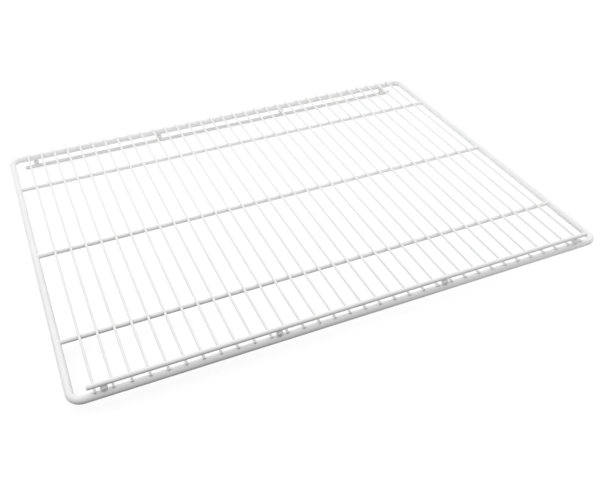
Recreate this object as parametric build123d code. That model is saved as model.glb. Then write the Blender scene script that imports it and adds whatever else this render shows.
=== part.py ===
from build123d import *
import os

# White coated wire shelf of a refrigerator. Millimetres, +Z up, front edge towards -Y.
# The origin lies under the middle of the shelf, level with its lowest rod, the rear rail.
# Diameters are taken over the coating.

# Perimeter frame: one round rod bent into a closed rectangle
frame_width = 630.0
frame_depth = 485.0
frame_diameter = 8.4
frame_bend_radius = 12.0  # at the middle of the rod

# Deck wires: front to back, on top of the frame
wire_diameter = 2.8
wire_pitch = 18.0
wire_side_room = 12.0  # least room from an end wire to the middle of a side rod
wire_overhang = 2.0  # past the middle of the front and rear rods

# Cross bars: side to side between the side rods, under the wires
bar_diameter = 5.0
bar_inset = 84.0  # from the middle of the front or rear rod to the nearest bar
bar_end_reach = 1.2  # past the inner side of a side rod, before the end is coped to it

# Edge rails: a raised lip along the front, a stop that hangs along the rear
rail_diameter = 5.0
rail_inset = 20.0  # from the outer side of the frame to a rail's free end

# Stubs: short rods that lie front to back and hold each rail off the frame
stub_diameter = 7.4
stub_length = 7.0
stub_weld_set = 0.2  # depth to which the weld presses each rod into a stub

# Places worked out from the sizes above
frame_radius = frame_diameter / 2
side_x = frame_width / 2 - frame_radius
edge_y = frame_depth / 2 - frame_radius
stub_rise = frame_radius + stub_diameter / 2 - stub_weld_set
rail_rise = stub_rise + stub_diameter / 2 - stub_weld_set + rail_diameter / 2
frame_z = rail_rise + rail_diameter / 2
frame_top_z = frame_z + frame_radius
bar_z = frame_top_z - bar_diameter / 2
wire_z = frame_top_z + wire_diameter / 2
bar_places = {"front": bar_inset - edge_y, "middle": 0.0, "rear": edge_y - bar_inset}
wires_each_side = int((side_x - wire_side_room) // wire_pitch)
rail_length = frame_width - 2 * rail_inset

# The outer stubs stand in the last gap between wires, the inner ones a third of the way out
outer_stub_wire = wires_each_side - 1
inner_stub_wire = outer_stub_wire // 3
inner_stub_x = (inner_stub_wire + 0.5) * wire_pitch
outer_stub_x = (outer_stub_wire + 0.5) * wire_pitch
stub_places = (-outer_stub_x, -inner_stub_x, inner_stub_x, outer_stub_x)


def rod_along_x(diameter, length, y, z):
    return Pos(0, y, z) * Cylinder(diameter / 2, length, rotation=(0, 90, 0))


def rod_along_y(diameter, length, x, z):
    return Pos(x, 0, z) * Cylinder(diameter / 2, length, rotation=(90, 0, 0))


def perimeter_frame():
    outline = RectangleRounded(2 * side_x, 2 * edge_y, frame_bend_radius)
    path = Pos(0, 0, frame_z) * outline.wire()
    section = Plane(path @ 0, z_dir=path % 0) * Circle(frame_radius)
    return sweep(section, path=path)


def cross_bar(y):
    # Each end is coped to the side rod that it is welded to
    bar = rod_along_x(bar_diameter, 2 * (side_x - frame_radius + bar_end_reach), y, bar_z)
    for x in (-side_x, side_x):
        bar -= Pos(0, y, 0) * rod_along_y(frame_diameter, 2 * bar_diameter, x, frame_z)
    return bar


def stub():
    # Made above a frame rod at the origin, with saddles for that rod below and the rail above
    body = rod_along_y(stub_diameter, stub_length, 0, stub_rise)
    body -= rod_along_x(frame_diameter, 2 * stub_diameter, 0, 0)
    body -= rod_along_x(rail_diameter, 2 * stub_diameter, 0, rail_rise)
    return body


nodes = {"perimeter_frame": perimeter_frame()}

for place, y in bar_places.items():
    nodes[f"{place}_cross_bar"] = cross_bar(y)

one_wire = rod_along_y(wire_diameter, 2 * (edge_y + wire_overhang), 0, wire_z)
for number in range(-wires_each_side, wires_each_side + 1):
    name = f"deck_wire_{number + wires_each_side + 1:02d}"
    nodes[name] = Pos(number * wire_pitch, 0, 0) * one_wire

nodes["front_rail"] = rod_along_x(rail_diameter, rail_length, -edge_y, frame_z + rail_rise)
nodes["rear_rail"] = rod_along_x(rail_diameter, rail_length, edge_y, frame_z - rail_rise)

# The front stubs stand on the frame, and the rear ones hang under it
one_stub = stub()
for number, x in enumerate(stub_places, start=1):
    nodes[f"front_stub_{number}"] = Pos(x, -edge_y, frame_z) * one_stub
    nodes[f"rear_stub_{number}"] = Pos(x, edge_y, frame_z) * Rot(180, 0, 0) * one_stub

os.makedirs("parts", exist_ok=True)
for name, solid in nodes.items():
    export_step(solid, f"parts/{name}.step")
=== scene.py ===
import math
import bpy
from mathutils import Matrix, Vector


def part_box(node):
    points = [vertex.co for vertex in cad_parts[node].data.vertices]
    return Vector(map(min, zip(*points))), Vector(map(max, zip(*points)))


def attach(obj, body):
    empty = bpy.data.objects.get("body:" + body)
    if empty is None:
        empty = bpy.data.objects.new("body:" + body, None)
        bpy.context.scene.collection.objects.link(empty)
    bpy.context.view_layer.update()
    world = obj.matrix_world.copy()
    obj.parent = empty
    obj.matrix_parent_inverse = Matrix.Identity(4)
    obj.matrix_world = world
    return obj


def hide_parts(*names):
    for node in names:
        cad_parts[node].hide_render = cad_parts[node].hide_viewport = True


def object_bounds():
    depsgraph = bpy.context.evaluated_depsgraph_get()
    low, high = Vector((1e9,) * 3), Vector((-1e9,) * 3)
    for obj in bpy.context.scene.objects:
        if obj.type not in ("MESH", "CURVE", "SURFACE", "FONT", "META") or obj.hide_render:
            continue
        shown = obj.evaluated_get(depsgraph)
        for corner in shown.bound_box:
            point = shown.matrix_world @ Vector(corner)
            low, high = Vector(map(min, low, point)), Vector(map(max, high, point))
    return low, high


# White coated wire shelf of a refrigerator. Metres, +Z up, front edge towards -Y.
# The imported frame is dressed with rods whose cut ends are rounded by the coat,
# and with the small fillets that the coat leaves where rods are welded together.

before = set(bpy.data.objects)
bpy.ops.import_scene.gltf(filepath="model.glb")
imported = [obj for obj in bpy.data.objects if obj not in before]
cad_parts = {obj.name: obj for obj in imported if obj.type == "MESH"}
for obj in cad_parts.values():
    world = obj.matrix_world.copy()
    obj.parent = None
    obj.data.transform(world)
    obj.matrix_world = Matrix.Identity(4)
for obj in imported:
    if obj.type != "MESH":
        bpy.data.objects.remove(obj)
cad_low, cad_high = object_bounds()

MM = 0.001
WHITE = (1, 1, 1, 1)

# Fineness of the meshes
AROUND = 32  # facets round a rod
ARC_STEPS = 5  # facets across a rounded end or a fillet

# How far the coat rounds off the cut ends
WIRE_END_ROUND = 0.6 * MM
RAIL_END_ROUND = 1.2 * MM
STUB_END_ROUND = 2.6 * MM

# Height of the gap that the coat fills around a weld between crossing rods
WIRE_ON_FRAME_FILL = 0.28 * MM
WIRE_ON_BAR_FILL = 0.45 * MM
STUB_FILL = 0.9 * MM

# Leg of the fillet between a cross bar's end and its side rod
BAR_END_LEG = 1.0 * MM

# Fillets
EDGE_SINK = 0.08 * MM  # how deep the edges lie in the rods that are joined
HOLLOW_SHARE = 0.5  # how deep the face round a crossing is hollowed, as a share of the fill
HIDDEN_SHARE = 0.25  # where the ring inside a crossing lies, as a share of the way out to the edge
REACH_MOST = 0.98  # how far out the edge may lie, as a share of the smallest radius or half length
SEARCH_STEPS = 40  # how often the search for the edge is halved

# Coat: a white whose tint and roughness drift in soft clouds, with a faint orange peel
CLOUD_SCALE = 35.0
CLOUD_DETAIL = 4.0
CLOUD_DARK = 0.3  # level of the clouds up to which the tint is dark
CLOUD_LIGHT = 0.7  # level of the clouds from which the tint is light
DARK_TINT = (0.845, 0.850, 0.845, 1)
LIGHT_TINT = (0.885, 0.888, 0.882, 1)
ROUGHNESS = (0.30, 0.42)
SPECULAR_LEVEL = 0.25
PEEL_SCALE = 900.0
PEEL_DETAIL = 2.0
PEEL_STRENGTH = 0.10
PEEL_DEPTH = 0.2 * MM

# Camera, fitted to the photograph
PHOTO_WIDTH_PX = 600
FOCAL_LENGTH_PX = 741.3
CAMERA_PLACE = Vector((-296.0, -748.4, 559.0)) * MM
CAMERA_AIM = Vector((-16.4, -101.7, 22.6)) * MM
CAMERA_ROLL = math.radians(-0.46)

# Soft dome of light: its brightest side, the level there, and where it fades to nothing, as a cosine
DOME_BRIGHT_SIDE = Vector((0.0, 0.25, 0.97)).normalized()
DOME_LEVEL = 1.225
DOME_FADE = -0.25
SIDEWAYS = Vector((1, 0, 0))
SIDE_GLOW = 0.65  # what the dome adds at the far left and the far right

# Floor: it sends back up a share of the light, which grows from the front left to the rear right
FLOOR_HALF = 20.0
BOUNCE_MIDDLE = 0.85  # share at the middle
BOUNCE_SLOPE = Vector((1.3, 2.6, 0.0))  # growth of the share in a metre, along X and along Y
BOUNCE_LEAST = 0.0
BOUNCE_MOST = 0.9
FLOOR_GLOW = 0.72  # what the floor adds to the light on it, as the camera sees it
FLOOR_SHADE = 0.35  # how much of the light on the floor, and of its shadows, the camera sees


def centre(node):
    low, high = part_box(node)
    return (low + high) / 2


def size(node):
    low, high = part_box(node)
    return high - low


WIRES = sorted(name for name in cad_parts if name.startswith("deck_wire"))
BARS = sorted(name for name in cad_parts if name.endswith("cross_bar"))
RAILS = sorted(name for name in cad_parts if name.endswith("rail"))
FRONT_STUBS = sorted(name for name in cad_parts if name.startswith("front_stub"))
REAR_STUBS = sorted(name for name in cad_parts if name.startswith("rear_stub"))

frame_radius = size("perimeter_frame").z / 2
frame_z = centre("perimeter_frame").z
side_x = size("perimeter_frame").x / 2 - frame_radius
edge_y = size("perimeter_frame").y / 2 - frame_radius
wire_radius = size(WIRES[0]).z / 2
bar_radius = size(BARS[0]).z / 2
bar_z = centre(BARS[0]).z
rail_radius = size(RAILS[0]).z / 2
stub_radius = size(FRONT_STUBS[0]).x / 2


class Skin:
    """Points and faces of one piece, gathered from several closed forms."""

    def __init__(self):
        self.points = []
        self.faces = []
        self.smooth = []

    def add_ring(self, ring):
        start = len(self.points)
        self.points.extend(ring)
        return range(start, len(self.points))

    def join(self, ring, other, smooth=True):
        """A band of faces from one ring of point numbers to the next."""
        for k in range(len(ring)):
            self.faces.append((ring[k - 1], ring[k], other[k], other[k - 1]))
            self.smooth.append(smooth)

    def cap(self, ring):
        """A fan of faces from a ring of point numbers to its middle."""
        middle = sum((self.points[number] for number in ring), Vector()) / len(ring)
        self.points.append(middle)
        for k in range(len(ring)):
            self.faces.append((ring[k - 1], ring[k], len(self.points) - 1))
            self.smooth.append(True)

    def add_bands(self, rings):
        """Bands of faces through rings in order. Gives the point numbers of each ring."""
        numbers = [self.add_ring(ring) for ring in rings]
        for ring, other in zip(numbers, numbers[1:]):
            self.join(ring, other)
        return numbers

    def add_capped(self, rings):
        """A closed form through rings in order, with a cap at each end."""
        numbers = self.add_bands(rings)
        self.cap(numbers[0][::-1])
        self.cap(numbers[-1])

    def add_fillet(self, rings, inner):
        """A closed ring through the rings of its visible face and one hidden in the joint behind it."""
        numbers = self.add_bands(rings)
        hidden = self.add_ring(inner)
        self.join(numbers[-1], hidden, smooth=False)
        self.join(hidden, numbers[0], smooth=False)

    def mesh(self, name):
        mesh = bpy.data.meshes.new(name)
        mesh.from_pydata(self.points, [], self.faces)
        mesh.polygons.foreach_set("use_smooth", self.smooth)
        return mesh


def add_rod(skin, length, radius, end_round, place):
    """A rod along Y, with ends rounded off, put in its place by a matrix."""
    arc = [math.pi / 2 * k / ARC_STEPS for k in range(ARC_STEPS + 1)]
    turns = [2 * math.pi * k / AROUND for k in range(AROUND)]
    half = []
    for angle in arc:
        y = length / 2 - end_round * (1 - math.sin(angle))
        r = radius - end_round * (1 - math.cos(angle))
        half.append((y, r))
    profile = [(-y, r) for y, r in reversed(half)] + half
    rings = []
    for y, r in profile:
        rings.append([place @ Vector((r * math.sin(t), y, r * math.cos(t))) for t in turns])
    skin.add_capped(rings)


def end_radius(y, length, radius, end_round):
    """Radius of a rod at a distance from its middle, less where its end is rounded off."""
    into_end = max(0.0, abs(y) - length / 2 + end_round)
    return radius - end_round + math.sqrt(max(0.0, end_round**2 - into_end**2))


def crossing_gap(x, y, low_radius, high_rod, press):
    """Heights of a low rod along X and of a high rod along Y that is pressed onto it at the origin."""
    _, high_radius, _ = high_rod
    low = math.sqrt(low_radius**2 - y**2) - low_radius
    high = high_radius - math.sqrt(max(0.0, end_radius(y, *high_rod) ** 2 - x**2)) - press
    return low, high


def crossing_reach(across, ahead, low_radius, high_rod, press, fill):
    """How far from a crossing, in one direction, the gap between its rods is as high as the fill."""
    length, high_radius, _ = high_rod
    near = 0.0
    far = REACH_MOST * min(low_radius, high_radius, length / 2)
    for _ in range(SEARCH_STEPS):
        reach = (near + far) / 2
        low, high = crossing_gap(reach * across, reach * ahead, low_radius, high_rod, press)
        if high - low < fill:
            near = reach
        else:
            far = reach
    return reach


def add_crossing_fillet(skin, low_radius, high_rod, press, fill, place):
    """The coat that fills the gap round a crossing weld, with a hollow face."""
    rings = [[] for _ in range(ARC_STEPS + 1)]
    hidden = []
    for k in range(AROUND):
        turn = 2 * math.pi * k / AROUND
        across, ahead = math.cos(turn), math.sin(turn)
        reach = crossing_reach(across, ahead, low_radius, high_rod, press, fill)
        for step in range(ARC_STEPS + 1):
            rise = step / ARC_STEPS
            out = reach - HOLLOW_SHARE * fill * math.sin(math.pi * rise)
            low, high = crossing_gap(out * across, out * ahead, low_radius, high_rod, press)
            height = (1 - rise) * (low - EDGE_SINK) + rise * (high + EDGE_SINK)
            rings[step].append(place @ Vector((out * across, out * ahead, height)))
        inside = HIDDEN_SHARE * reach
        hidden.append(place @ Vector((inside * across, inside * ahead, -press / 2)))
    skin.add_fillet(rings, hidden)


def add_bar_end_fillet(skin, y, side):
    """The weld round one coped end of a cross bar, from the bar's surface to the side rod's."""
    _, bar_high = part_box(BARS[0])
    end_x = bar_high.x
    sunk_radius = frame_radius - EDGE_SINK
    rings = [[] for _ in range(ARC_STEPS + 1)]
    hidden = []
    for k in range(AROUND):
        turn = -side * 2 * math.pi * k / AROUND
        across = Vector((0, math.sin(turn), math.cos(turn)))
        on_bar = Vector((0, 0, bar_z)) + (bar_radius - EDGE_SINK) * across
        on_rod = Vector((0, 0, bar_z)) + (bar_radius + BAR_END_LEG) * across
        on_rod.z = min(on_rod.z, frame_z + sunk_radius)
        on_rod.x = side_x - math.sqrt(sunk_radius**2 - (on_rod.z - frame_z) ** 2)
        meet_x = side_x - math.sqrt(max(0.0, frame_radius**2 - (on_bar.z - frame_z) ** 2))
        on_bar.x = min(meet_x, end_x) - BAR_END_LEG
        root = on_bar + Vector((BAR_END_LEG, 0, 0))
        for step in range(ARC_STEPS + 1):
            t = step / ARC_STEPS
            point = (1 - t) ** 2 * on_bar + 2 * t * (1 - t) * root + t**2 * on_rod
            rings[step].append(Vector((side * point.x, y + point.y, point.z)))
        inner = root + Vector((BAR_END_LEG, 0, 0)) - BAR_END_LEG * across
        hidden.append(Vector((side * inner.x, y + inner.y, inner.z)))
    skin.add_fillet(rings, hidden)


def calculate(nodes, links, operation, *values):
    """One step of arithmetic on values that are numbers or outputs of other nodes."""
    step = nodes.new("ShaderNodeMath")
    step.operation = operation
    for socket, value in zip(step.inputs, values):
        if isinstance(value, float):
            socket.default_value = value
        else:
            links.new(value, socket)
    return step.outputs["Value"]


def along(nodes, links, vector, direction):
    """How far a vector reaches along a direction."""
    reach = nodes.new("ShaderNodeVectorMath")
    reach.operation = "DOT_PRODUCT"
    links.new(vector, reach.inputs[0])
    reach.inputs[1].default_value = direction
    return reach.outputs["Value"]


def graded(nodes, links, value, limits, levels):
    """A value between two limits, turned into a level between two others."""
    grade = nodes.new("ShaderNodeMapRange")
    grade.inputs["From Min"].default_value, grade.inputs["From Max"].default_value = limits
    grade.inputs["To Min"].default_value, grade.inputs["To Max"].default_value = levels
    links.new(value, grade.inputs["Value"])
    return grade.outputs["Result"]


def noise(nodes, links, place, scale, detail):
    """A level that drifts from place to place."""
    texture = nodes.new("ShaderNodeTexNoise")
    texture.inputs["Scale"].default_value = scale
    texture.inputs["Detail"].default_value = detail
    links.new(place, texture.inputs["Vector"])
    return texture.outputs["Fac"]


def to_eye(nodes, links):
    """1 on rays that show a thing itself to the camera or in a gloss, 0 on rays that carry its light."""
    path = nodes.new("ShaderNodeLightPath")
    total = path.outputs["Is Camera Ray"]
    for kind in ("Is Glossy Ray", "Is Transmission Ray"):
        total = calculate(nodes, links, "MAXIMUM", total, path.outputs[kind])
    return total


def coating_material():
    """White satin powder coat: faint orange peel, and slight unevenness of colour and gloss."""
    material = bpy.data.materials.new("coating")
    material.use_nodes = True
    nodes = material.node_tree.nodes
    links = material.node_tree.links
    shader = nodes["Principled BSDF"]
    place = nodes.new("ShaderNodeNewGeometry").outputs["Position"]

    cloud = noise(nodes, links, place, CLOUD_SCALE, CLOUD_DETAIL)
    tint = nodes.new("ShaderNodeValToRGB")
    dark, light = tint.color_ramp.elements
    dark.position = CLOUD_DARK
    dark.color = DARK_TINT
    light.position = CLOUD_LIGHT
    light.color = LIGHT_TINT
    links.new(cloud, tint.inputs["Fac"])
    links.new(tint.outputs["Color"], shader.inputs["Base Color"])
    links.new(graded(nodes, links, cloud, (0, 1), ROUGHNESS), shader.inputs["Roughness"])
    shader.inputs["Specular IOR Level"].default_value = SPECULAR_LEVEL

    bump = nodes.new("ShaderNodeBump")
    bump.inputs["Strength"].default_value = PEEL_STRENGTH
    bump.inputs["Distance"].default_value = PEEL_DEPTH
    links.new(noise(nodes, links, place, PEEL_SCALE, PEEL_DETAIL), bump.inputs["Height"])
    links.new(bump.outputs["Normal"], shader.inputs["Normal"])
    return material


coating = coating_material()


def show(name, mesh, nodes, place=Matrix()):
    """Puts a piece in the scene, in place of CAD nodes where some are named."""
    if not mesh.materials:
        mesh.materials.append(coating)
    piece = bpy.data.objects.new(name, mesh)
    bpy.context.scene.collection.objects.link(piece)
    piece.matrix_world = place
    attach(piece, "root")
    if nodes:
        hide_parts(*nodes)


def deck_wires():
    """All the wires share one mesh: a rod with fillets at the frame and at each bar."""
    skin = Skin()
    rod = (size(WIRES[0]).y, wire_radius, WIRE_END_ROUND)
    add_rod(skin, *rod, Matrix())
    for y in (-edge_y, edge_y):
        place = Matrix.Translation((0, y, -wire_radius))
        add_crossing_fillet(skin, frame_radius, rod, 0.0, WIRE_ON_FRAME_FILL, place)
    for bar in BARS:
        place = Matrix.Translation((0, centre(bar).y, -wire_radius))
        add_crossing_fillet(skin, bar_radius, rod, 0.0, WIRE_ON_BAR_FILL, place)
    mesh = skin.mesh("deck_wire_coated")
    for node in WIRES:
        show(f"{node}_coated", mesh, [node], Matrix.Translation(centre(node)))


def rails():
    along_x = Matrix.Rotation(math.pi / 2, 4, "Z")
    for node in RAILS:
        skin = Skin()
        add_rod(skin, size(node).x, rail_radius, RAIL_END_ROUND, along_x)
        show(f"{node}_coated", skin.mesh(f"{node}_coated"), [node], Matrix.Translation(centre(node)))


def stubs():
    """Domed stubs, with fillets at the frame rod below and at the rail above. The rear ones hang."""
    front_z = centre(FRONT_STUBS[0]).z
    press = frame_radius + stub_radius - (front_z - frame_z)
    skin = Skin()
    rod = (size(FRONT_STUBS[0]).y, stub_radius, STUB_END_ROUND)
    add_rod(skin, *rod, Matrix())
    hung = Matrix.Rotation(math.pi, 4, "X")
    foot = Matrix.Translation((0, 0, press - stub_radius))
    add_crossing_fillet(skin, frame_radius, rod, press, STUB_FILL, foot)
    add_crossing_fillet(skin, rail_radius, rod, press, STUB_FILL, hung @ foot)
    mesh = skin.mesh("stub_coated")
    for node in FRONT_STUBS:
        show(f"{node}_coated", mesh, [node], Matrix.Translation(centre(node)))
    for node in REAR_STUBS:
        show(f"{node}_coated", mesh, [node], Matrix.Translation(centre(node)) @ hung)


def bar_end_welds():
    for bar in BARS:
        skin = Skin()
        for side in (-1, 1):
            add_bar_end_fillet(skin, centre(bar).y, side)
        show(f"{bar}_welds", skin.mesh(f"{bar}_welds"), [])


def floor_material():
    """Looks white to the camera and keeps shadows, and sends light back up as its bounce says."""
    material = bpy.data.materials.new("floor")
    material.use_nodes = True
    nodes = material.node_tree.nodes
    links = material.node_tree.links
    nodes.remove(nodes["Principled BSDF"])

    bounce = nodes.new("ShaderNodeBsdfDiffuse")
    place = nodes.new("ShaderNodeNewGeometry").outputs["Position"]
    growth = along(nodes, links, place, BOUNCE_SLOPE)
    limits = (BOUNCE_LEAST - BOUNCE_MIDDLE, BOUNCE_MOST - BOUNCE_MIDDLE)
    level = graded(nodes, links, growth, limits, (BOUNCE_LEAST, BOUNCE_MOST))
    links.new(level, bounce.inputs["Color"])

    shade = nodes.new("ShaderNodeBsdfDiffuse")
    shade.inputs["Color"].default_value = (FLOOR_SHADE, FLOOR_SHADE, FLOOR_SHADE, 1)
    glow = nodes.new("ShaderNodeEmission")
    glow.inputs["Strength"].default_value = FLOOR_GLOW
    seen = nodes.new("ShaderNodeAddShader")
    links.new(shade.outputs["BSDF"], seen.inputs[0])
    links.new(glow.outputs["Emission"], seen.inputs[1])

    pick = nodes.new("ShaderNodeMixShader")
    links.new(to_eye(nodes, links), pick.inputs["Fac"])
    links.new(bounce.outputs["BSDF"], pick.inputs[1])
    links.new(seen.outputs["Shader"], pick.inputs[2])
    links.new(pick.outputs["Shader"], nodes["Material Output"].inputs["Surface"])
    return material


def floor():
    mesh = bpy.data.meshes.new("floor")
    corners = [(-1, -1), (1, -1), (1, 1), (-1, 1)]
    points = [(x * FLOOR_HALF, y * FLOOR_HALF, cad_low.z) for x, y in corners]
    mesh.from_pydata(points, [], [(0, 1, 2, 3)])
    mesh.materials.append(floor_material())
    plane = bpy.data.objects.new("floor", mesh)
    bpy.context.scene.collection.objects.link(plane)


def dome():
    """Soft light from the sky, most of it from above and from both sides. The camera sees a white sky."""
    studio = bpy.data.worlds.new("studio")
    bpy.context.scene.world = studio
    studio.use_nodes = True
    nodes = studio.node_tree.nodes
    links = studio.node_tree.links

    heading = nodes.new("ShaderNodeTexCoord").outputs["Generated"]
    slope = along(nodes, links, heading, DOME_BRIGHT_SIDE)
    level = graded(nodes, links, slope, (DOME_FADE, 1), (0, DOME_LEVEL))
    sideways = along(nodes, links, heading, SIDEWAYS)
    square = calculate(nodes, links, "MULTIPLY", sideways, sideways)
    strength = calculate(nodes, links, "MULTIPLY_ADD", square, SIDE_GLOW, level)
    light = nodes["Background"]
    light.inputs["Color"].default_value = WHITE
    links.new(strength, light.inputs["Strength"])

    white = nodes.new("ShaderNodeBackground")
    white.inputs["Color"].default_value = WHITE
    pick = nodes.new("ShaderNodeMixShader")
    links.new(to_eye(nodes, links), pick.inputs["Fac"])
    links.new(light.outputs["Background"], pick.inputs[1])
    links.new(white.outputs["Background"], pick.inputs[2])
    links.new(pick.outputs["Shader"], nodes["World Output"].inputs["Surface"])


def camera():
    lens = bpy.data.cameras.new("camera")
    lens.lens = FOCAL_LENGTH_PX * lens.sensor_width / PHOTO_WIDTH_PX
    holder = bpy.data.objects.new("camera", lens)
    bpy.context.scene.collection.objects.link(holder)
    aim = (CAMERA_AIM - CAMERA_PLACE).to_track_quat("-Z", "Y").to_matrix().to_4x4()
    holder.matrix_world = Matrix.Translation(CAMERA_PLACE) @ aim @ Matrix.Rotation(CAMERA_ROLL, 4, "Z")
    bpy.context.scene.camera = holder


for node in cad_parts.values():
    node.data.materials.clear()
    node.data.materials.append(coating)
deck_wires()
rails()
stubs()
bar_end_welds()

floor()
dome()
camera()
bpy.context.scene.view_settings.view_transform = "Standard"
